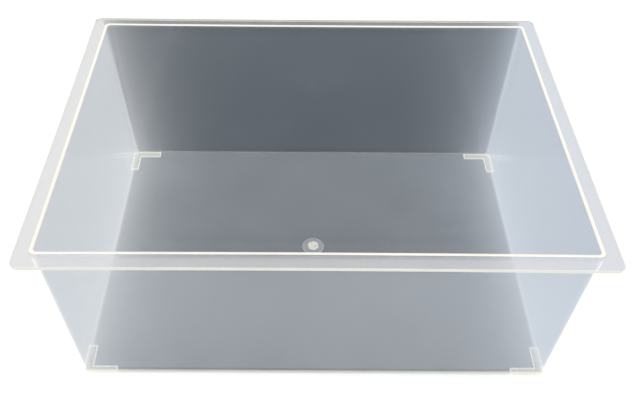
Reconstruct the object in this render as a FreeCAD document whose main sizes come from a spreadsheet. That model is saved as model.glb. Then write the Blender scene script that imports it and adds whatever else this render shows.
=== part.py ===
import FreeCAD, Part
import math
import os
import Sketcher

# Open-topped water trough, injection moulded in one piece in natural polypropylene.
#
# The moulding is modelled as its named regions, which meet face to face: the floor,
# four drafted walls, the lip that rises round the mouth, the flat flange outside it,
# an L-shaped foot under each corner and the gate boss in the middle of the floor.
#
# Frame: millimetres, +Z up, +X along the long side, +Y towards the back. The origin
# is on the surface that the feet stand on, under the middle of the floor.

# alias: (value in mm, what it measures)
DIMENSIONS = {
    "mouth_width": (251.8, "outer width of the walls at the top of the lip"),
    "mouth_depth": (185.8, "outer depth of the walls at the top of the lip"),
    "overall_height": (99.4, "from the feet to the top of the lip"),
    "draft_inset": (4.5, "how far each wall leans in between the lip and the feet"),
    "wall": (1.8, "wall thickness, measured level"),
    "floor_thick": (2.0, "floor thickness"),
    "corner_radius": (2.8, "outer radius of the upright corners"),
    "flange_reach": (7.1, "how far the flange stands out past the walls"),
    "flange_thick": (1.8, "flange thickness"),
    "flange_corner": (4.0, "radius of the flange's corners"),
    "flange_round": (0.4, "rounding of the flange's edges"),
    "lip_rise": (0.6, "height of the lip above the flange"),
    "lip_round": (0.4, "rounding of the lip's top edges"),
    "foot_height": (1.2, "height of the feet under the floor"),
    "foot_leg": (17.5, "length of each leg of a foot, from the outer corner"),
    "foot_band": (4.4, "width of a foot's legs"),
    "gate_radius": (6.3, "radius of the gate boss"),
    "gate_step": (0.4, "height of the gate boss above the floor"),
    "nub_radius": (3.3, "radius of the cut sprue on the gate boss"),
    "nub_rise": (0.9, "height of the cut sprue above the floor"),
    "cutter_margin": (10.0, "how far the dividing tools reach past the moulding"),
}

LIP_TOP = "dims.overall_height"
FLANGE_TOP = "(dims.overall_height - dims.lip_rise)"
FLANGE_UNDERSIDE = "(dims.overall_height - dims.lip_rise - dims.flange_thick)"
FLOOR_TOP = "(dims.foot_height + dims.floor_thick)"
INNER_RADIUS = "(dims.corner_radius - dims.wall)"

# How much wider the mouth is than it is deep, per side: the mitre planes at the
# corners run at 45 degrees and meet the long axis this far from the centre.
MITRE_OFFSET = "((dims.mouth_width - dims.mouth_depth) / 2)"

# side: (turn of the dividing tool about Z in degrees, mouth size along the outward
# direction, sign of the mitre offset)
SIDES = {
    "back": (0, "dims.mouth_depth", "+"),
    "left": (90, "dims.mouth_width", "-"),
    "front": (180, "dims.mouth_depth", "+"),
    "right": (270, "dims.mouth_width", "-"),
}

# foot: (side of the long axis, side of the short axis)
FEET = {
    "foot_front_left": (-1, -1),
    "foot_front_right": (1, -1),
    "foot_back_left": (-1, 1),
    "foot_back_right": (1, 1),
}

doc = FreeCAD.newDocument("water_trough")


def make_sheet():
    """Write the driving dimensions and give each cell its alias."""
    sheet = doc.addObject("Spreadsheet::Sheet", "dims")
    for row, (alias, (value, meaning)) in enumerate(DIMENSIONS.items(), start=1):
        sheet.set(f"A{row}", alias)
        sheet.set(f"B{row}", str(value))
        sheet.setAlias(f"B{row}", alias)
        sheet.set(f"C{row}", meaning)
    doc.recompute()
    return sheet


def bind(obj, **expressions):
    """Bind properties to expressions; a double underscore stands for a dot."""
    for name, expression in expressions.items():
        obj.setExpression(name.replace("__", "."), expression)


def origin_plane(body, role):
    """Return one of a body's own origin planes."""
    return next(item for item in body.Origin.OriginFeatures if item.Role == role)


def new_body(name):
    """Add an empty PartDesign body."""
    body = doc.addObject("PartDesign::Body", name)
    body.Label = name
    return body


def level_outline(body, name, width, depth, radius, level):
    """Sketch a rounded rectangle about the Z axis at a level above the feet."""
    sketch = body.newObject("Sketcher::SketchObject", name)
    sketch.AttachmentSupport = [(origin_plane(body, "XY_Plane"), "")]
    sketch.MapMode = "FlatFace"
    sketch.setExpression("AttachmentOffset.Base.z", level)

    # A first guess at the outline, which the constraints then drive.
    half_x, half_y, round_off = 100.0, 80.0, 5.0
    inner_x, inner_y = half_x - round_off, half_y - round_off
    corner_signs = [(1, -1), (1, 1), (-1, 1), (-1, -1)]
    arcs = []
    for quarter, (sign_x, sign_y) in enumerate(corner_signs):
        centre = FreeCAD.Vector(sign_x * inner_x, sign_y * inner_y, 0)
        start, finish = math.radians(90 * (quarter - 1)), math.radians(90 * quarter)
        circle = Part.Circle(centre, FreeCAD.Vector(0, 0, 1), round_off)
        arcs.append(sketch.addGeometry(Part.ArcOfCircle(circle, start, finish)))
    lines = []
    for index, arc in enumerate(arcs):
        following = arcs[(index + 1) % len(arcs)]
        begin = sketch.getPoint(arc, 2)
        end = sketch.getPoint(following, 1)
        line = sketch.addGeometry(Part.LineSegment(begin, end))
        lines.append(line)
        sketch.addConstraint(Sketcher.Constraint("Tangent", arc, 2, line, 1))
        sketch.addConstraint(Sketcher.Constraint("Tangent", line, 2, following, 1))
    right_side, back_side, left_side, front_side = lines
    sketch.addConstraint(Sketcher.Constraint("Vertical", right_side))
    sketch.addConstraint(Sketcher.Constraint("Vertical", left_side))
    sketch.addConstraint(Sketcher.Constraint("Horizontal", back_side))
    sketch.addConstraint(Sketcher.Constraint("Horizontal", front_side))
    for arc in arcs[1:]:
        sketch.addConstraint(Sketcher.Constraint("Equal", arcs[0], arc))
    # The centres of opposite corners lie symmetrically about the origin.
    sketch.addConstraint(Sketcher.Constraint("Symmetric", arcs[0], 3, arcs[2], 3, -1, 1))

    sized = {
        "radius": (Sketcher.Constraint("Radius", arcs[0], round_off), radius),
        "width": (Sketcher.Constraint("DistanceX", arcs[3], 3, arcs[0], 3, 2 * inner_x),
                  f"{width} - 2 * {radius}"),
        "depth": (Sketcher.Constraint("DistanceY", arcs[0], 3, arcs[1], 3, 2 * inner_y),
                  f"{depth} - 2 * {radius}"),
    }
    for label, (constraint, expression) in sized.items():
        index = sketch.addConstraint(constraint)
        sketch.renameConstraint(index, label)
        sketch.setExpression(f"Constraints.{label}", expression)
    return sketch


def drafted_form(name, base_size, base_level, top_size, top_level, radius):
    """Loft a solid between two rounded rectangles, with flat sides."""
    body = new_body(name)
    base = level_outline(body, f"{name}_base", *base_size, radius, base_level)
    top = level_outline(body, f"{name}_top", *top_size, radius, top_level)
    doc.recompute()
    loft = body.newObject("PartDesign::AdditiveLoft", f"{name}_loft")
    loft.Profile = base
    loft.Sections = [top]
    loft.Ruled = True
    doc.recompute()
    return body


def outer_size(level):
    """Expressions for the walls' outer width and depth at a level."""
    lean = f"2 * dims.draft_inset * (1 - {level} / dims.overall_height)"
    return f"(dims.mouth_width - {lean})", f"(dims.mouth_depth - {lean})"


def inner_size(level):
    """Expressions for the walls' inner width and depth at a level."""
    return tuple(f"({size} - 2 * dims.wall)" for size in outer_size(level))


def slab(name, bottom, top):
    """A block that holds everything between two levels."""
    block = doc.addObject("Part::Box", name)
    bind(
        block,
        Length="dims.mouth_width + 2 * dims.flange_reach + 2 * dims.cutter_margin",
        Width="dims.mouth_depth + 2 * dims.flange_reach + 2 * dims.cutter_margin",
        Height=f"{top} - {bottom}",
        Placement__Base__x="-(dims.mouth_width / 2 + dims.flange_reach + dims.cutter_margin)",
        Placement__Base__y="-(dims.mouth_depth / 2 + dims.flange_reach + dims.cutter_margin)",
        Placement__Base__z=bottom,
    )
    return block


def boolean(kind, name, base, tool):
    """Combine two shapes with Part::Cut or Part::Common."""
    result = doc.addObject(f"Part::{kind}", name)
    result.Base = base
    result.Tool = tool
    result.Label = name
    return result


def side_tool(side):
    """A block with mitred ends that holds one side of the rim, from floor to lip."""
    turn, mouth, offset_sign = SIDES[side]
    start = f"{mouth} / 4"
    finish = f"({mouth} / 2 + dims.flange_reach + dims.cutter_margin)"
    block = doc.addObject("Part::Wedge", f"{side}_tool")
    near_half = f"({start} {offset_sign} {MITRE_OFFSET})"
    far_half = f"({finish} {offset_sign} {MITRE_OFFSET})"
    highest = f"{LIP_TOP} + dims.cutter_margin"
    bind(
        block,
        Ymin=start, Ymax=finish,
        Xmin=f"-{near_half}", Xmax=near_half, X2min=f"-{far_half}", X2max=far_half,
        Zmin="0", Zmax=highest, Z2min="0", Z2max=highest,
    )
    block.Placement.Rotation = FreeCAD.Rotation(FreeCAD.Vector(0, 0, 1), turn)
    return block


def flange_plate():
    """The flat plate that the flange is cut from, with its edges rounded."""
    body = new_body("flange_plate")
    width = "(dims.mouth_width + 2 * dims.flange_reach)"
    depth = "(dims.mouth_depth + 2 * dims.flange_reach)"
    outline = level_outline(
        body, "flange_outline", width, depth, "dims.flange_corner", FLANGE_UNDERSIDE)
    doc.recompute()
    pad = body.newObject("PartDesign::Pad", "flange_pad")
    pad.Profile = outline
    bind(pad, Length="dims.flange_thick")
    doc.recompute()
    rims = [f"Edge{number}" for number, edge in enumerate(pad.Shape.Edges, start=1)
            if edge.BoundBox.ZLength < 1e-6]
    fillet = body.newObject("PartDesign::Fillet", "flange_edges")
    fillet.Base = (pad, rims)
    bind(fillet, Radius="dims.flange_round")
    doc.recompute()
    return body


def rounded_lip(sheet, ring):
    """Round the inner and outer edges along the top of the lip."""
    top_level = sheet.get("overall_height")
    radius = sheet.get("lip_round")
    fillet = doc.addObject("Part::Fillet", "lip_ring")
    fillet.Base = ring
    fillet.Edges = [(number, radius, radius)
                    for number, edge in enumerate(ring.Shape.Edges, start=1)
                    if edge.BoundBox.ZMin > top_level - 1e-6]
    return fillet


def foot(name, sign_x, sign_y, outer_form):
    """An L-shaped foot that continues the walls below one corner of the floor."""
    half_width, half_depth = (f"{size} / 2" for size in outer_size("dims.foot_height"))
    leg_sizes = {
        "x_leg": ("dims.foot_leg", "dims.foot_band"),
        "y_leg": ("dims.foot_band", "dims.foot_leg"),
    }
    legs = []
    for leg, (length, width) in leg_sizes.items():
        block = doc.addObject("Part::Box", f"{name}_{leg}")
        left = f"-{half_width}" if sign_x < 0 else f"{half_width} - {length}"
        front = f"-{half_depth}" if sign_y < 0 else f"{half_depth} - {width}"
        bind(
            block, Length=length, Width=width, Height="dims.foot_height",
            Placement__Base__x=left, Placement__Base__y=front,
        )
        legs.append(block)
    blank = doc.addObject("Part::MultiFuse", f"{name}_blank")
    blank.Shapes = legs
    return boolean("Common", name, outer_form, blank)


def gate_boss():
    """The round boss on the floor, with the cut sprue standing in its middle."""
    body = new_body("gate_boss")
    sketch = body.newObject("Sketcher::SketchObject", "gate_profile")
    sketch.AttachmentSupport = [(origin_plane(body, "XZ_Plane"), "")]
    sketch.MapMode = "FlatFace"
    sketch.setExpression("AttachmentOffset.Base.y", FLOOR_TOP)
    # Half section from the axis outwards, then back over the two steps.
    corners = [(0, 0), (6, 0), (6, 1), (3, 1), (3, 2), (0, 2)]
    points = [FreeCAD.Vector(across, up, 0) for across, up in corners]
    closed = points[1:] + points[:1]
    lines = [sketch.addGeometry(Part.LineSegment(start, end))
             for start, end in zip(points, closed)]
    for index, line in enumerate(lines):
        following = lines[(index + 1) % len(lines)]
        direction = "Horizontal" if index % 2 == 0 else "Vertical"
        sketch.addConstraint(Sketcher.Constraint("Coincident", line, 2, following, 1))
        sketch.addConstraint(Sketcher.Constraint(direction, line))
    bottom, outer_step, _, nub_step, _, axis_side = lines
    sketch.addConstraint(Sketcher.Constraint("Coincident", bottom, 1, -1, 1))
    sized = {
        "boss_radius": (Sketcher.Constraint("DistanceX", bottom, 1, bottom, 2, 6.0),
                        "dims.gate_radius"),
        "boss_step": (Sketcher.Constraint("DistanceY", outer_step, 1, outer_step, 2, 1.0),
                      "dims.gate_step"),
        "sprue_radius": (Sketcher.Constraint("DistanceX", bottom, 1, nub_step, 1, 3.0),
                         "dims.nub_radius"),
        "sprue_rise": (Sketcher.Constraint("DistanceY", axis_side, 2, axis_side, 1, 2.0),
                       "dims.nub_rise"),
    }
    for label, (constraint, expression) in sized.items():
        index = sketch.addConstraint(constraint)
        sketch.renameConstraint(index, label)
        sketch.setExpression(f"Constraints.{label}", expression)
    doc.recompute()
    turned = body.newObject("PartDesign::Revolution", "gate_turned")
    turned.Profile = sketch
    turned.ReferenceAxis = (sketch, ["V_Axis"])
    turned.Angle = 360
    doc.recompute()
    return body


def build():
    """Build every region of the moulding and return them by node name."""
    sheet = make_sheet()

    outer_form = drafted_form(
        "outer_form", outer_size("0"), "0", outer_size(LIP_TOP), LIP_TOP,
        "dims.corner_radius")
    # The inner form runs on past the lip, so that it cuts the mouth open cleanly.
    past_lip = f"({LIP_TOP} + dims.cutter_margin)"
    inner_form = drafted_form(
        "inner_form", inner_size(FLOOR_TOP), FLOOR_TOP, inner_size(past_lip), past_lip,
        INNER_RADIUS)
    shell = boolean("Cut", "shell", outer_form, inner_form)

    floor_level = slab("floor_level", "dims.foot_height", FLOOR_TOP)
    wall_level = slab("wall_level", FLOOR_TOP, FLANGE_TOP)
    lip_level = slab("lip_level", FLANGE_TOP, LIP_TOP)
    wall_ring = boolean("Common", "wall_ring", shell, wall_level)
    square_lip = boolean("Common", "square_lip", shell, lip_level)
    flange_ring = boolean("Cut", "flange_ring", flange_plate(), outer_form)
    doc.recompute()
    rings = {
        "wall": wall_ring,
        "flange": flange_ring,
        "lip": rounded_lip(sheet, square_lip),
    }

    nodes = {"floor_panel": boolean("Common", "floor_panel", shell, floor_level)}
    for side in SIDES:
        tool = side_tool(side)
        for region, ring in rings.items():
            name = f"{side}_{region}"
            nodes[name] = boolean("Common", name, ring, tool)
    for name, (sign_x, sign_y) in FEET.items():
        nodes[name] = foot(name, sign_x, sign_y, outer_form)
    nodes["gate_boss"] = gate_boss()
    doc.recompute()
    return nodes


def check(nodes):
    """Stop if any object failed or any region isn't one valid solid."""
    for obj in doc.Objects:
        if "Invalid" in obj.State or "Error" in obj.State:
            raise RuntimeError(f"{obj.Label} failed to build: {obj.State}")
    for name, node in nodes.items():
        shape = node.Shape
        if shape.isNull() or not shape.isValid() or len(shape.Solids) != 1:
            raise RuntimeError(f"{name} isn't one valid solid")
        box = shape.optimalBoundingBox()
        print(f"{name:18s} {shape.Volume:10.1f} mm3   X {box.XMin:8.2f} {box.XMax:8.2f}"
              f"   Y {box.YMin:8.2f} {box.YMax:8.2f}   Z {box.ZMin:7.2f} {box.ZMax:7.2f}")


def write(nodes):
    """Write one STEP file for each region."""
    os.makedirs("parts", exist_ok=True)
    for name, node in nodes.items():
        node.Shape.exportStep(f"parts/{name}.step")


trough = build()
check(trough)
write(trough)
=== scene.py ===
import math

import bmesh
import bpy
from bpy.props import FloatProperty, FloatVectorProperty, IntProperty, PointerProperty
from mathutils import Euler, Matrix, Vector, noise


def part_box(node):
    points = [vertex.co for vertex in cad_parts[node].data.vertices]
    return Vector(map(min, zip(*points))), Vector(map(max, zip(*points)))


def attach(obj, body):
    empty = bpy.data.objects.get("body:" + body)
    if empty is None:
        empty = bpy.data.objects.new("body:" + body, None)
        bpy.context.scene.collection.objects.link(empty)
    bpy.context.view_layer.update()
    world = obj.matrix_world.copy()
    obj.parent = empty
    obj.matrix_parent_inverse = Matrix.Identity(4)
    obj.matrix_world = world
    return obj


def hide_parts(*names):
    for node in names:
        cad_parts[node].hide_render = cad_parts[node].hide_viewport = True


bl_info = {
    "name": "Water Trough",
    "version": (1, 0, 0),
    "blender": (4, 5, 0),
    "location": "View3D > Sidebar > Trough",
    "description": "Builds a translucent moulded water trough on its CAD frame, with a studio round it",
    "category": "Add Mesh",
}

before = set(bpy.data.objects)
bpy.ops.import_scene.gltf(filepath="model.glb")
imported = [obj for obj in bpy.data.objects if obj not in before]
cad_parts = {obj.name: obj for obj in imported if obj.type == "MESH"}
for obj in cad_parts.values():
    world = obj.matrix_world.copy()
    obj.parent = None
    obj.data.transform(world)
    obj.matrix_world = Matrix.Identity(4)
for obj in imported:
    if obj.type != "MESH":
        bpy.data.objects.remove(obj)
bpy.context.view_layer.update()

BODY = "root"
SIDES = ("front", "back", "left", "right")
SHELL_NODES = ["floor_panel"] + [f"{side}_{region}" for side in SIDES
                                 for region in ("wall", "flange", "lip")]
FEET = ("foot_front_left", "foot_front_right", "foot_back_left", "foot_back_right")

# Levels and half sizes that the moulding takes from its CAD nodes, in metres.
FLOOR_LOW, FLOOR_HIGH = (corner.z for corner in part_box("floor_panel"))
FLANGE_LOW, FLANGE_HIGH = (corner.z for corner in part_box("front_flange"))
LIP_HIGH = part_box("front_lip")[1].z
FLANGE_X, FLANGE_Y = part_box("right_flange")[1].x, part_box("back_flange")[1].y
MOUTH_X, MOUTH_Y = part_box("right_lip")[1].x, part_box("back_lip")[1].y
BASE_X, BASE_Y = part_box("foot_back_right")[1].xy
FOOT_LEG = BASE_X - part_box("foot_back_right")[0].x
GATE_LOW, GATE_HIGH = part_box("gate_boss")
MM = 0.001
MERGE = 1e-7                            # points closer than this are one point
BASE_STRIP = FLOOR_HIGH + 2.2 * MM      # up to here the walls carry a painted highlight where the floor's edge shows through them


def lean(level):
    """Half width and half depth of the walls' outer faces at a level."""
    share = (level - FLOOR_LOW) / (LIP_HIGH - FLOOR_LOW)
    return BASE_X + (MOUTH_X - BASE_X) * share, BASE_Y + (MOUTH_Y - BASE_Y) * share


# ---------------------------------------------------------------- settings


class TroughShellSettings(bpy.types.PropertyGroup):
    wall: FloatProperty(
        name="Wall", description="Thickness of the walls, measured level",
        default=1.8 * MM, unit="LENGTH")
    outer_corner: FloatProperty(
        name="Outer corner", description="Radius of the upright corners outside",
        default=2.8 * MM, unit="LENGTH")
    inner_corner: FloatProperty(
        name="Inner corner", description="Radius of the upright corners inside",
        default=1.7 * MM, unit="LENGTH")
    flange_corner: FloatProperty(
        name="Flange corner", description="Radius of the flange's corners",
        default=4.0 * MM, unit="LENGTH")
    edge_round: FloatProperty(
        name="Edge rounding", description="Rounding of the flange's edges and the lip's inner edge",
        default=0.45 * MM, unit="LENGTH")
    lip_root: FloatProperty(
        name="Lip root", description="Fillet between the flange and the lip",
        default=0.2 * MM, unit="LENGTH")
    lip_round: FloatProperty(
        name="Lip rounding", description="Rounding of the lip's outer edge",
        default=0.4 * MM, unit="LENGTH")
    floor_fillet: FloatProperty(
        name="Floor fillet", description="Fillet between the walls and the floor inside",
        default=1.3 * MM, unit="LENGTH")
    base_round: FloatProperty(
        name="Base rounding", description="Rounding between the walls and the floor outside",
        default=0.6 * MM, unit="LENGTH")
    long_bow: FloatProperty(
        name="Long bow", description="How far the long walls pull in at the middle of the mouth",
        default=0.7 * MM, unit="LENGTH")
    short_bow: FloatProperty(
        name="Short bow", description="How far the short walls pull in at the middle of the mouth",
        default=0.25 * MM, unit="LENGTH")
    corner_steps: IntProperty(
        name="Corner steps", description="Facets round each upright corner", default=8, min=2)


class TroughDetailSettings(bpy.types.PropertyGroup):
    foot_band: FloatProperty(
        name="Foot band", description="Width of the legs of each foot",
        default=4.4 * MM, unit="LENGTH")
    foot_round: FloatProperty(
        name="Foot rounding", description="Rounding of the feet's edges",
        default=0.2 * MM, unit="LENGTH")
    sprue_radius: FloatProperty(
        name="Sprue radius", description="Radius of the cut sprue on the gate boss",
        default=3.3 * MM, unit="LENGTH")
    boss_step: FloatProperty(
        name="Boss step", description="Height of the gate boss above the floor",
        default=0.4 * MM, unit="LENGTH")
    tear: FloatProperty(
        name="Tear", description="Depth of the unevenness of the cut sprue",
        default=0.45 * MM, unit="LENGTH")
    skin_gap: FloatProperty(
        name="Skin gap", description="Gap that keeps two see-through skins from coinciding",
        default=0.03 * MM, unit="LENGTH")


class TroughFinishSettings(bpy.types.PropertyGroup):
    milk: FloatVectorProperty(
        name="Milk", description="Colour that the cloudy plastic scatters back",
        default=(0.73, 0.78, 0.84), subtype="COLOR", min=0, max=1)
    # Partly the plastic's own cream at thick edges, partly a painted highlight for light piped along
    # the walls.
    edge_milk_and_highlight: FloatVectorProperty(
        name="Edge milk", description="Colour of the thick edges, which gather light",
        default=(0.75, 0.72, 0.63), subtype="COLOR", min=0, max=1)
    # Colour of the painted glow, an emission of the plastic.
    painted_glow_colour: FloatVectorProperty(
        name="Glow", description="Colour of the light that the edges gather",
        default=(1.0, 0.97, 0.88), subtype="COLOR", min=0, max=1)
    rim_milk: FloatVectorProperty(
        name="Rim milk", description="Colour that the flange scatters back",
        default=(0.73, 0.71, 0.705), subtype="COLOR", min=0, max=1)
    haze: FloatProperty(
        name="Haze", description="Share of light that one skin scatters, met head on",
        default=0.10, min=0, max=1, subtype="FACTOR")
    rim_haze: FloatProperty(
        name="Rim haze", description="Share of light that the flange's skins scatter",
        default=0.15, min=0, max=1, subtype="FACTOR")
    foot_haze: FloatProperty(
        name="Foot haze", description="Share of light that the feet's level faces scatter",
        default=0.36, min=0, max=1, subtype="FACTOR")
    # Partly the cloud of thick plastic, partly a painted highlight.
    edge_haze_and_highlight: FloatProperty(
        name="Edge haze", description="Share of light that the thick edges scatter",
        default=0.80, min=0, max=1, subtype="FACTOR")
    gloss: FloatProperty(
        name="Gloss roughness", description="Roughness of the polished moulded faces",
        default=0.03, min=0, max=1, subtype="FACTOR")
    # Painted glow: emission on the rim's edges.
    painted_edge_glow: FloatProperty(
        name="Edge glow", description="Light that the rim's edges gather and give off",
        default=0.05, min=0)
    # Painted glow: emission on the feet's and the gate's edges.
    painted_foot_glow: FloatProperty(
        name="Foot glow", description="Light that the feet's and the gate's edges give off",
        default=0.45, min=0)
    # Painted glow: emission where a skin turns edge on.
    painted_turn_glow: FloatProperty(
        name="Turning glow", description="Light that a skin gives off where it turns edge on",
        default=1.10, min=0)
    # Painted highlight on the upright corners, seen from outside only.
    turn: FloatProperty(
        name="Turned edges", description="Extra cloudiness of the upright corners outside",
        default=0.90, min=0, max=1, subtype="FACTOR")
    # Painted highlight on the walls' foot, seen from outside only.
    painted_base_highlight: FloatProperty(
        name="Turned base", description="Extra cloudiness of the walls' foot outside",
        default=0.72, min=0, max=1, subtype="FACTOR")
    torn_spots: FloatProperty(
        name="Torn spots", description="How much clearer the spots on the cut sprue are",
        default=0.45, min=0, max=1, subtype="FACTOR")
    # Painted light: the rim is made cloudier, and so brighter, towards the front, as if lit from there.
    rim_painted_front_light: FloatProperty(
        name="Rim slope", description="How much cloudier the rim gets towards the front",
        default=5.0)
    mirror: FloatProperty(
        name="Mirror", description="Share of light that a skin mirrors, met head on",
        default=0.04, min=0, max=1, subtype="FACTOR")


class TroughStageSettings(bpy.types.PropertyGroup):
    floor_colour: FloatVectorProperty(
        name="Floor", description="Colour of the studio floor",
        default=(0.94, 0.94, 0.94), subtype="COLOR", min=0, max=1)
    floor_drop: FloatProperty(
        name="Floor drop", description="Gap that keeps the floor from coinciding with the feet",
        default=0.05 * MM, unit="LENGTH")
    # Painted backdrop: an emitting colour, shown only through the plastic, beside the trough.
    painted_backdrop_beside: FloatVectorProperty(
        name="Sides seen through", description="Colour beside the trough, seen through the plastic",
        default=(0.65, 0.685, 0.73), subtype="COLOR", min=0, max=1)
    # Painted shade: an emitting dark colour, shown only through the plastic, under and behind the
    # trough.
    painted_shade_colour: FloatVectorProperty(
        name="Ground seen through", description="Colour of the ground as it shows through the plastic",
        default=(0.02, 0.03, 0.04), subtype="COLOR", min=0, max=1)
    focal_length: FloatProperty(
        name="Focal length", description="Focal length of the camera in millimetres",
        default=43.8, min=1)
    distance: FloatProperty(
        name="Distance", description="From the camera to the point it turns about",
        default=0.4466, unit="LENGTH")
    pitch: FloatProperty(
        name="Pitch", description="How far the camera looks down",
        default=math.radians(44.94), unit="ROTATION")
    yaw: FloatProperty(
        name="Yaw", description="How far the camera stands to the right of the front",
        default=math.radians(-0.18), unit="ROTATION")
    roll: FloatProperty(
        name="Roll", description="How far the camera leans about its own axis",
        default=math.radians(0.48), unit="ROTATION")
    aim_x: FloatProperty(
        name="Aim across", description="Where the camera's axis crosses the middle plane",
        default=-5.9 * MM, unit="LENGTH")
    aim_z: FloatProperty(
        name="Aim height", description="Height at which the camera's axis crosses the middle plane",
        default=36.8 * MM, unit="LENGTH")
    shift: FloatProperty(
        name="Shift", description="Sideways shift of the lens, as a share of the picture's width",
        default=0.0247)


# ---------------------------------------------------------------- shader maths


class Signal:
    """One output of a shader node. Arithmetic on it adds Math nodes to its graph."""

    def __init__(self, graph, socket):
        self.graph = graph
        self.socket = socket

    def _math(self, operation, first, second):
        return self.graph.node("ShaderNodeMath", {"operation": operation}, {0: first, 1: second})

    def __add__(self, other):
        return self._math("ADD", self, other)

    __radd__ = __add__

    def __mul__(self, other):
        return self._math("MULTIPLY", self, other)

    __rmul__ = __mul__

    def __sub__(self, other):
        return self._math("SUBTRACT", self, other)

    def __rsub__(self, other):
        return self._math("SUBTRACT", other, self)

    def __truediv__(self, other):
        return self._math("DIVIDE", self, other)

    def __rtruediv__(self, other):
        return self._math("DIVIDE", other, self)

    def __pow__(self, other):
        return self._math("POWER", self, other)

    def __rpow__(self, other):
        return self._math("POWER", other, self)

    def __gt__(self, other):
        return self._math("GREATER_THAN", self, other)

class Graph:
    """The node tree of a material or of the world."""

    def __init__(self, owner):
        owner.use_nodes = True
        self.tree = owner.node_tree
        self.tree.nodes.clear()

    def node(self, kind, settings=None, sockets=None, output=0):
        """Add a node, set its settings, feed its sockets and return one of its outputs."""
        made = self.tree.nodes.new(kind)
        for name, value in (settings or {}).items():
            setattr(made, name, value)
        for name, value in (sockets or {}).items():
            if isinstance(value, Signal):
                self.tree.links.new(value.socket, made.inputs[name])
            else:
                made.inputs[name].default_value = value
        return Signal(self, made.outputs[output]) if made.outputs else None


def opaque(colour):
    """A colour with its alpha."""
    return (*colour, 1.0)


def polypropylene(name, milk, haze, painted_glow_colour, glow=0.0, turn=0.0, fade=False, painted_front_light=0.0,
                  spots=0.0):
    """Milky see-through plastic: a cloudy skin with a clear glossy surface on top of it.

    glow is painted light that the plastic gives off all over, and turn a painted highlight on a
    corner outside, made of added cloudiness and glow, which fades out upwards with fade. slope
    is painted light that makes the front cloudier, and so brighter, than the back, and spots
    clears ragged spots.
    """
    finish = bpy.context.scene.trough_finish
    material = bpy.data.materials.new(name)
    graph = Graph(material)
    place = graph.node("ShaderNodeTexCoord", output="Object")

    def pattern(where, scale, detail, roughness):
        """Noise with scale waves to the metre."""
        return graph.node("ShaderNodeTexNoise", None, {
            "Vector": where, "Scale": scale, "Detail": detail, "Roughness": roughness})

    # Cloudiness drifts slowly over the moulding, and flow lines run out from the gate.
    spokes = graph.node("ShaderNodeVectorMath", {"operation": "NORMALIZE"}, {0: graph.node(
        "ShaderNodeVectorMath", {"operation": "MULTIPLY"}, {0: place, 1: (1.0, 1.0, 0.0)})})
    flow = pattern(spokes, 9.0, 3.0, 0.6)
    drift = pattern(place, 26.0, 3.0, 0.55)
    ripple = pattern(place, 95.0, 2.0, 0.5)
    grain = pattern(place, 1400.0, 2.0, 0.6)

    # A skin is cloudier higher up, and wherever a slanting ray has farther to go through it.
    facing = graph.node("ShaderNodeLayerWeight", None, {"Blend": 0.5}, output="Facing")
    path = 1.0 / (1.12 - facing)
    level = graph.node("ShaderNodeSeparateXYZ", None, {"Vector": place}, output="Z")
    along = graph.node("ShaderNodeSeparateXYZ", None, {"Vector": place}, output="Y")
    # slope is painted light: it makes the front cloudier, and so brighter, than the back.
    cloud = haze * (0.55 + 3.0 * level - painted_front_light * along + 0.4 * drift + 0.2 * flow)
    clear = (1.0 - cloud) ** path
    # Painted highlight: corners and the base are made paler from outside only, by added cloudiness and
    # glow.
    outward = 1.0 - graph.node("ShaderNodeNewGeometry", output="Backfacing")
    painted_highlight = turn * outward * (0.35 + 0.65 * facing)
    if fade:
        painted_highlight = painted_highlight * graph.node("ShaderNodeMapRange", None, {
            "Value": level, "From Min": FLOOR_HIGH, "From Max": BASE_STRIP,
            "To Min": 1.0, "To Max": 0.15})
    cover = 1.0 - clear * (1.0 - painted_highlight)
    if spots:
        cover = cover * (1.0 - spots * graph.node(
            "ShaderNodeMapRange", {"interpolation_type": "SMOOTHSTEP"},
            {"Value": pattern(place, 620.0, 3.0, 0.6), "From Min": 0.46, "From Max": 0.62}))

    bump = graph.node("ShaderNodeBump", None,
                      {"Strength": 0.05, "Distance": 0.0006, "Height": ripple + 0.10 * grain})
    # Painted glow: the plastic gives off light (emission) at its thick edges and where it turns edge
    # on, in place of light that runs inside it.
    painted_glow_share = graph.node("ShaderNodeMath", {"operation": "MINIMUM"},
                          {0: glow + finish.painted_turn_glow * facing ** 4.0 + 0.7 * painted_highlight, 1: 1.0})
    painted_glow_light = graph.node("ShaderNodeMix", {"data_type": "RGBA"}, {
        "Factor": painted_glow_share, "A": opaque((0.0, 0.0, 0.0)), "B": opaque(painted_glow_colour)}, output=2)
    body = graph.node("ShaderNodeBsdfPrincipled", None, {
        "Base Color": opaque(milk),
        "Roughness": 0.35 + 0.2 * grain * drift,
        "Emission Color": painted_glow_light,
        "Emission Strength": 1.0,
        "Normal": bump,
    })
    window = graph.node("ShaderNodeBsdfTransparent")
    cloudy = graph.node("ShaderNodeMixShader", None, {0: cover, 1: window, 2: body})
    # Like any glossy surface, it mirrors more at a slant.
    mirror = finish.mirror + 0.35 * facing ** 5.0
    shine = graph.node("ShaderNodeBsdfAnisotropic", None, {
        "Color": opaque((1.0, 1.0, 1.0)),
        "Roughness": finish.gloss + 0.04 * grain,
        "Normal": bump,
    })
    skin = graph.node("ShaderNodeMixShader", None, {0: mirror, 1: cloudy, 2: shine})
    graph.node("ShaderNodeOutputMaterial", None, {"Surface": skin})
    return material


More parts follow.
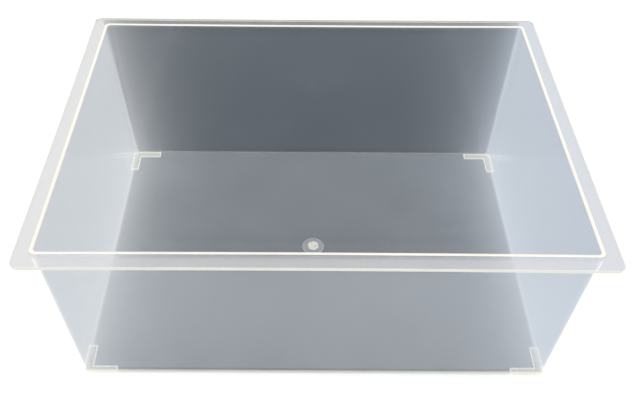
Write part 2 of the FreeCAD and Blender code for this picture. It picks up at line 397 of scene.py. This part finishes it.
# The plastic's finishes, and the numbers that faces are painted with.
FINISHES = ("moulded_wall", "moulded_rim", "rim_edge_highlight", "foot_face", "painted_foot_edge", "painted_corner_edge",
            "painted_base_edge", "torn_sprue")
(WALL_FINISH, RIM_FINISH, EDGE_HIGHLIGHT_FINISH, FOOT_FACE_FINISH, FOOT_EDGE_GLOW_FINISH, TURN_HIGHLIGHT_FINISH,
 BASE_HIGHLIGHT_FINISH, TORN_FINISH) = range(8)


class TROUGH_OT_plastic(bpy.types.Operator):
    """Make the finishes of the see-through plastic"""

    bl_idname = "trough.plastic"
    bl_label = "Plastic"

    def execute(self, context):
        finish = context.scene.trough_finish
        (wall, rim, rim_edge_highlight, foot_face, painted_foot_edge, painted_corner_edge, painted_base_edge,
         torn_sprue) = FINISHES
        # Painted highlight: the thick edges get a denser, creamier cloud than the walls, partly real
        # and partly standing in for light piped along the plastic.
        edge = (finish.edge_milk_and_highlight, finish.edge_haze_and_highlight, finish.painted_glow_colour)
        polypropylene(wall, finish.milk, finish.haze, finish.milk)
        polypropylene(rim, finish.rim_milk, finish.rim_haze, finish.milk, painted_front_light=finish.rim_painted_front_light)
        polypropylene(rim_edge_highlight, *edge, glow=finish.painted_edge_glow)
        polypropylene(foot_face, finish.edge_milk_and_highlight, finish.foot_haze, finish.painted_glow_colour)
        polypropylene(painted_foot_edge, *edge, glow=finish.painted_foot_glow)
        clear_edge = (finish.edge_milk_and_highlight, finish.haze, finish.painted_glow_colour)
        polypropylene(painted_corner_edge, *clear_edge, turn=finish.turn)
        polypropylene(painted_base_edge, *clear_edge, turn=finish.painted_base_highlight, fade=True)
        polypropylene(torn_sprue, *edge, glow=finish.painted_edge_glow, spots=finish.torn_spots)
        return {"FINISHED"}


# ---------------------------------------------------------------- modelling


def rounded_outline(bm, half_x, half_y, radius, level, steps, keep_face=False):
    """Add a rounded rectangle about the Z axis and return its edges."""
    matrix = Matrix.Translation((0, 0, level)) @ Matrix.Diagonal((half_x, half_y, 1, 1))
    corners = bmesh.ops.create_grid(bm, x_segments=1, y_segments=1, size=1, matrix=matrix)["verts"]
    verts = bmesh.ops.bevel(bm, geom=corners, offset=radius, segments=steps, profile=0.5,
                            affect="VERTICES", material=-1)["verts"]
    edges = list(dict.fromkeys(edge for vert in verts for edge in vert.link_edges))
    if not keep_face:
        bmesh.ops.delete(bm, geom=[verts[0].link_faces[0]], context="FACES_ONLY")
    return edges


def round_edges(bm, edges, radius, steps):
    """Round edges and return the faces of the rounding."""
    return bmesh.ops.bevel(bm, geom=edges, offset=radius, segments=steps, profile=0.5,
                           affect="EDGES", material=-1)["faces"]


def paint(faces, finish):
    """Give faces one of the piece's finishes."""
    for face in faces:
        face.material_index = finish


def finish_piece(bm, name, nodes):
    """Turn a bmesh into a piece that rides on the body and stands for its CAD nodes."""
    bmesh.ops.remove_doubles(bm, verts=bm.verts, dist=MERGE)
    bmesh.ops.recalc_face_normals(bm, faces=bm.faces)
    for face in bm.faces:
        face.smooth = True
    mesh = bpy.data.meshes.new(name)
    bm.to_mesh(mesh)
    bm.free()
    for finish in FINISHES:
        mesh.materials.append(bpy.data.materials[finish])
    piece = bpy.data.objects.new(name, mesh)
    bpy.context.scene.collection.objects.link(piece)
    normals = piece.modifiers.new("even_normals", "WEIGHTED_NORMAL")
    normals.keep_sharp = True
    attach(piece, BODY)
    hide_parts(*nodes)
    return piece


class TROUGH_OT_shell(bpy.types.Operator):
    """Build the tub: floor, walls, flange and lip as one seamless moulding"""

    bl_idname = "trough.shell"
    bl_label = "Tub"

    def execute(self, context):
        size = context.scene.trough_shell
        bm = bmesh.new()
        # The section runs from under the floor, up outside, over the rim and down inside.
        # Each line: half sizes, corner radius, level, rounding, finish of the face before it.
        outside_top = lean(FLANGE_LOW)
        inner_top = [half - size.wall for half in (MOUTH_X, MOUTH_Y)]
        inner_base = [half - size.wall for half in lean(FLOOR_HIGH)]
        section = [
            (BASE_X, BASE_Y, size.outer_corner, FLOOR_LOW, size.base_round, WALL_FINISH),
            (*lean(BASE_STRIP), size.outer_corner, BASE_STRIP, 0.0, BASE_HIGHLIGHT_FINISH),
            (*outside_top, size.outer_corner, FLANGE_LOW, size.edge_round, WALL_FINISH),
            (FLANGE_X, FLANGE_Y, size.flange_corner, FLANGE_LOW, size.edge_round, RIM_FINISH),
            (FLANGE_X, FLANGE_Y, size.flange_corner, FLANGE_HIGH, size.edge_round, EDGE_HIGHLIGHT_FINISH),
            (MOUTH_X, MOUTH_Y, size.outer_corner, FLANGE_HIGH, size.lip_root, RIM_FINISH),
            (MOUTH_X, MOUTH_Y, size.outer_corner, LIP_HIGH, size.lip_round, RIM_FINISH),
            (*inner_top, size.inner_corner, LIP_HIGH, size.edge_round, EDGE_HIGHLIGHT_FINISH),
            (*inner_base, size.inner_corner, FLOOR_HIGH, size.floor_fillet, WALL_FINISH),
        ]
        # Outlines at one level can't be bridged, so they start apart and then move to place.
        apart = 10 * MM
        outlines = []
        for index, (half_x, half_y, radius, _, _, _) in enumerate(section):
            capped = index in (0, len(section) - 1)
            outlines.append(rounded_outline(
                bm, half_x, half_y, radius, index * apart, size.corner_steps, keep_face=capped))
        for (_, _, _, _, _, finish), inner, outer in zip(section[1:], outlines, outlines[1:]):
            paint(bmesh.ops.bridge_loops(bm, edges=inner + outer)["faces"], finish)
        for index, ((_, _, _, level, _, _), edges) in enumerate(zip(section, outlines)):
            verts = list(dict.fromkeys(vert for edge in edges for vert in edge.verts))
            bmesh.ops.translate(bm, verts=verts, vec=(0, 0, level - index * apart))
        bmesh.ops.recalc_face_normals(bm, faces=bm.faces)
        # Painted highlight: the upright corners outside get the turned-edge finish.
        paint([face for face in bm.faces
               if BASE_STRIP < face.calc_center_median().z < FLANGE_LOW
               and face.normal.dot(face.calc_center_median()) > 0
               and min(abs(face.normal.x), abs(face.normal.y)) > 0.05], TURN_HIGHLIGHT_FINISH)
        for index, ((_, _, _, _, rounding, _), edges) in enumerate(zip(section, outlines)):
            if rounding:
                rounded = round_edges(bm, edges, rounding, 3)
                # The base's rounding carries the base's painted highlight too.
                if index == 0:
                    paint(rounded, BASE_HIGHLIGHT_FINISH)

        # Cuts across the tub let its long straight walls bow.
        cuts = 12
        for step in range(1, cuts):
            share = 2 * step / cuts - 1
            for across, half in ((Vector((1, 0, 0)), BASE_X), (Vector((0, 1, 0)), BASE_Y)):
                geometry = bm.verts[:] + bm.edges[:] + bm.faces[:]
                bmesh.ops.bisect_plane(bm, geom=geometry, dist=MERGE,
                                       plane_co=across * half * share, plane_no=across)
        for vert in bm.verts:
            rise = max(0.0, (vert.co.z - FLOOR_HIGH) / (LIP_HIGH - FLOOR_HIGH)) ** 1.5
            across_x, across_y = vert.co.x / FLANGE_X, vert.co.y / FLANGE_Y
            vert.co.x -= size.short_bow * rise * across_x * (1 - across_y ** 2)
            vert.co.y -= size.long_bow * rise * across_y * (1 - across_x ** 2)
        finish_piece(bm, "tub_moulding", SHELL_NODES)
        return {"FINISHED"}


class TROUGH_OT_feet(bpy.types.Operator):
    """Build the four L-shaped feet under the floor's corners"""

    bl_idname = "trough.feet"
    bl_label = "Feet"

    def execute(self, context):
        size = context.scene.trough_detail
        corner = context.scene.trough_shell.outer_corner
        for name in FEET:
            low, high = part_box(name)
            side_x, side_y = math.copysign(1, low.x), math.copysign(1, low.y)
            bm = bmesh.new()
            rounded_outline(bm, BASE_X, BASE_Y, corner, low.z, 6, keep_face=True)
            # Trim the outline to this corner, then split it along the inside of both legs.
            for across, side, half in ((Vector((1, 0, 0)), side_x, BASE_X),
                                       (Vector((0, 1, 0)), side_y, BASE_Y)):
                for depth, trims in ((FOOT_LEG, True), (size.foot_band, False)):
                    geometry = bm.verts[:] + bm.edges[:] + bm.faces[:]
                    bmesh.ops.bisect_plane(
                        bm, geom=geometry, dist=MERGE, plane_co=across * side * (half - depth),
                        plane_no=across * side, clear_inner=trims)
            middle = [face for face in bm.faces
                      if abs(face.calc_center_median().x) < BASE_X - size.foot_band
                      and abs(face.calc_center_median().y) < BASE_Y - size.foot_band]
            bmesh.ops.delete(bm, geom=middle, context="FACES")
            bmesh.ops.dissolve_limit(bm, angle_limit=0.01, verts=bm.verts[:], edges=bm.edges[:])
            grown = bmesh.ops.extrude_face_region(bm, geom=bm.faces[:])["geom"]
            raised = [item for item in grown if isinstance(item, bmesh.types.BMVert)]
            bmesh.ops.translate(bm, verts=raised, vec=(0, 0, high.z - low.z - size.skin_gap))
            bmesh.ops.recalc_face_normals(bm, faces=bm.faces)
            paint(bm.faces, FOOT_FACE_FINISH)
            # Painted glow: the feet's upright faces and roundings give off light, which outlines them
            # under the floor.
            paint([face for face in bm.faces if abs(face.normal.z) < 0.5], FOOT_EDGE_GLOW_FINISH)
            sharp = [edge for edge in bm.edges if edge.calc_face_angle(0) > math.radians(60)]
            paint(round_edges(bm, sharp, size.foot_round, 2), FOOT_EDGE_GLOW_FINISH)
            finish_piece(bm, f"{name}_moulding", [name])
        return {"FINISHED"}


class TROUGH_OT_gate(bpy.types.Operator):
    """Build the gate boss, with the cut sprue in its middle"""

    bl_idname = "trough.gate"
    bl_label = "Gate boss"

    def execute(self, context):
        size = context.scene.trough_detail
        bm = bmesh.new()
        base = GATE_LOW.z + size.skin_gap
        step = GATE_LOW.z + size.boss_step
        profile = [(0, base), (GATE_HIGH.x, base), (GATE_HIGH.x, step),
                   (size.sprue_radius, step)]
        profile += [(size.sprue_radius * share, GATE_HIGH.z) for share in (1.0, 0.6, 0.3, 0.0)]
        verts = [bm.verts.new((across, 0, level)) for across, level in profile]
        for pair in zip(verts, verts[1:]):
            bm.edges.new(pair)
        bmesh.ops.bevel(bm, geom=verts[2:5], offset=0.15 * MM, segments=3, profile=0.5,
                        affect="VERTICES", material=-1)
        bmesh.ops.spin(bm, geom=bm.verts[:] + bm.edges[:], cent=(0, 0, 0), axis=(0, 0, 1),
                       angle=math.tau, steps=64, use_merge=True)
        # The sprue was torn off, so its top is uneven.
        for vert in bm.verts:
            if vert.co.z > GATE_HIGH.z - 0.1 * MM:
                vert.co.z -= size.tear * max(0.0, 0.5 + noise.noise(vert.co * 700))
        # The cut sprue and the side of the boss show pale, by the edge finishes' painted highlight and
        # painted glow; the sprue's top is also rough.
        paint([face for face in bm.faces if face.calc_center_median().z > step + 0.05 * MM],
              TORN_FINISH)
        paint([face for face in bm.faces
               if face.calc_center_median().xy.length > GATE_HIGH.x - 0.3 * MM], EDGE_HIGHLIGHT_FINISH)
        finish_piece(bm, "gate_moulding", ["gate_boss"])
        return {"FINISHED"}


# ---------------------------------------------------------------- stage


def stage_ground(colour, painted_backdrop_beside, ground):
    """A pale floor. Seen through the plastic it shows a glowing painted backdrop instead: painted shade
    under and behind the tub, and a paler painted backdrop beside it.
    """
    back_edge, narrowing = 0.09, 0.33           # the painted shade in the middle narrows behind the tub
    foot_start, foot_end = 0.1185, 0.1235       # it stops short at the foot of the walls
    fade_end, fade_length = 0.130, 0.018        # up to there it brightens slowly
    painted_light_change = (-0.6, -0.35, 0.0)            # of red, green and blue, in each metre
    material = bpy.data.materials.new("studio_floor")
    graph = Graph(material)
    place = graph.node("ShaderNodeTexCoord", output="Object")
    across = graph.node("ShaderNodeSeparateXYZ", None, {"Vector": place}, output="X")
    along = graph.node("ShaderNodeSeparateXYZ", None, {"Vector": place}, output="Y")
    aside = graph.node("ShaderNodeMath", {"operation": "ABSOLUTE"}, {0: across})
    behind = graph.node("ShaderNodeMath", {"operation": "MAXIMUM"}, {0: along - back_edge, 1: 0.0})
    reach = aside - narrowing * behind
    foot = graph.node("ShaderNodeMapRange", {"interpolation_type": "SMOOTHSTEP"},
                      {"Value": reach, "From Min": foot_start, "From Max": foot_end})
    beside = graph.node("ShaderNodeMath", {"operation": "MINIMUM"},
                        {0: math.e ** ((reach - fade_end) / fade_length) + foot, 1: 1.0})
    # Painted shade: ground is the dark colour that stands in for shade under and behind the tub.
    shade = graph.node("ShaderNodeMix", {"data_type": "RGBA"},
                       {"Factor": beside, "A": opaque(ground), "B": opaque(painted_backdrop_beside)}, output=2)
    # Only rays that have passed through the plastic see this painted backdrop, which gives off its own
    # light.
    through = graph.node("ShaderNodeLightPath", output="Transparent Depth") > 0.5
    pale = graph.node("ShaderNodeBsdfDiffuse", None, {"Color": opaque(colour)})
    # Painted light: the backdrop seen through is brighter and warmer on the left, as if lit from there.
    painted_side_light = graph.node("ShaderNodeVectorMath", {"operation": "MULTIPLY_ADD"},
                           {0: across, 1: painted_light_change, 2: (1.0, 1.0, 1.0)})
    painted_side_lit = graph.node("ShaderNodeVectorMath", {"operation": "MULTIPLY"}, {0: shade, 1: painted_side_light})
    seen = graph.node("ShaderNodeEmission", None, {"Color": painted_side_lit, "Strength": 1.0})
    surface = graph.node("ShaderNodeMixShader", None, {0: through, 1: pale, 2: seen})
    graph.node("ShaderNodeOutputMaterial", None, {"Surface": surface})
    return material


def area_light(name, place, aim, width, depth, power):
    """A soft rectangular lamp that points at a place."""
    lamp = bpy.data.lights.new(name, "AREA")
    lamp.shape = "RECTANGLE"
    lamp.size, lamp.size_y = width, depth
    lamp.energy = power
    holder = bpy.data.objects.new(name, lamp)
    holder.location = place
    holder.rotation_euler = (Vector(aim) - Vector(place)).to_track_quat("-Z", "Y").to_euler()
    bpy.context.scene.collection.objects.link(holder)


class TROUGH_OT_stage(bpy.types.Operator):
    """Set up the studio floor, the soft lights and the camera"""

    bl_idname = "trough.stage"
    bl_label = "Studio"

    def execute(self, context):
        look = context.scene.trough_stage
        bm = bmesh.new()
        bmesh.ops.create_grid(bm, x_segments=1, y_segments=1, size=3.0)
        mesh = bpy.data.meshes.new("studio_floor")
        bm.to_mesh(mesh)
        bm.free()
        mesh.materials.append(
            stage_ground(look.floor_colour, look.painted_backdrop_beside, look.painted_shade_colour))
        ground = bpy.data.objects.new("studio_floor", mesh)
        ground.location.z = -look.floor_drop
        context.scene.collection.objects.link(ground)

        world = bpy.data.worlds.new("studio")
        context.scene.world = world
        graph = Graph(world)
        glow = graph.node("ShaderNodeBackground", None,
                          {"Color": (0.96, 0.98, 1.0, 1.0), "Strength": 0.75})
        graph.node("ShaderNodeOutputWorld", None, {"Surface": glow})
        area_light("overhead_softbox", (0.0, -0.1, 1.1), (0, 0, 0.05), 1.2, 0.9, 8.0)

        camera = bpy.data.cameras.new("camera")
        camera.lens = look.focal_length
        camera.sensor_width = 36.0
        camera.shift_x = look.shift
        camera.clip_start = 0.01
        holder = bpy.data.objects.new("camera", camera)
        turn = Euler((math.pi / 2 - look.pitch, 0, look.yaw), "XYZ").to_matrix()
        turn = turn @ Matrix.Rotation(look.roll, 3, "Z")
        holder.rotation_euler = turn.to_euler()
        back = turn @ Vector((0, 0, 1))
        holder.location = Vector((look.aim_x, 0, look.aim_z)) + back * look.distance
        context.scene.collection.objects.link(holder)
        context.scene.camera = holder

        context.scene.view_settings.view_transform = "Standard"
        context.scene.cycles.transparent_max_bounces = 32
        return {"FINISHED"}


# ---------------------------------------------------------------- panel


class TROUGH_PT_panel(bpy.types.Panel):
    """The trough's pieces and settings"""

    bl_idname = "TROUGH_PT_panel"
    bl_label = "Water trough"
    bl_space_type = "VIEW_3D"
    bl_region_type = "UI"
    bl_category = "Trough"

    def draw(self, context):
        layout = self.layout
        for operator in OPERATORS:
            layout.operator(operator.bl_idname)
        for name, settings in SETTINGS.items():
            box = layout.box()
            for item in settings.__annotations__:
                box.prop(getattr(context.scene, name), item)


SETTINGS = {
    "trough_shell": TroughShellSettings,
    "trough_detail": TroughDetailSettings,
    "trough_finish": TroughFinishSettings,
    "trough_stage": TroughStageSettings,
}
OPERATORS = (TROUGH_OT_plastic, TROUGH_OT_shell, TROUGH_OT_feet, TROUGH_OT_gate, TROUGH_OT_stage)


def register():
    for name, settings in SETTINGS.items():
        bpy.utils.register_class(settings)
        setattr(bpy.types.Scene, name, PointerProperty(type=settings))
    for item in (*OPERATORS, TROUGH_PT_panel):
        bpy.utils.register_class(item)


def unregister():
    for item in (TROUGH_PT_panel, *reversed(OPERATORS)):
        bpy.utils.unregister_class(item)
    for name, settings in reversed(SETTINGS.items()):
        delattr(bpy.types.Scene, name)
        bpy.utils.unregister_class(settings)


def main():
    register()
    bpy.ops.trough.plastic()
    bpy.ops.trough.shell()
    bpy.ops.trough.feet()
    bpy.ops.trough.gate()
    bpy.ops.trough.stage()


if __name__ == "__main__":
    main()
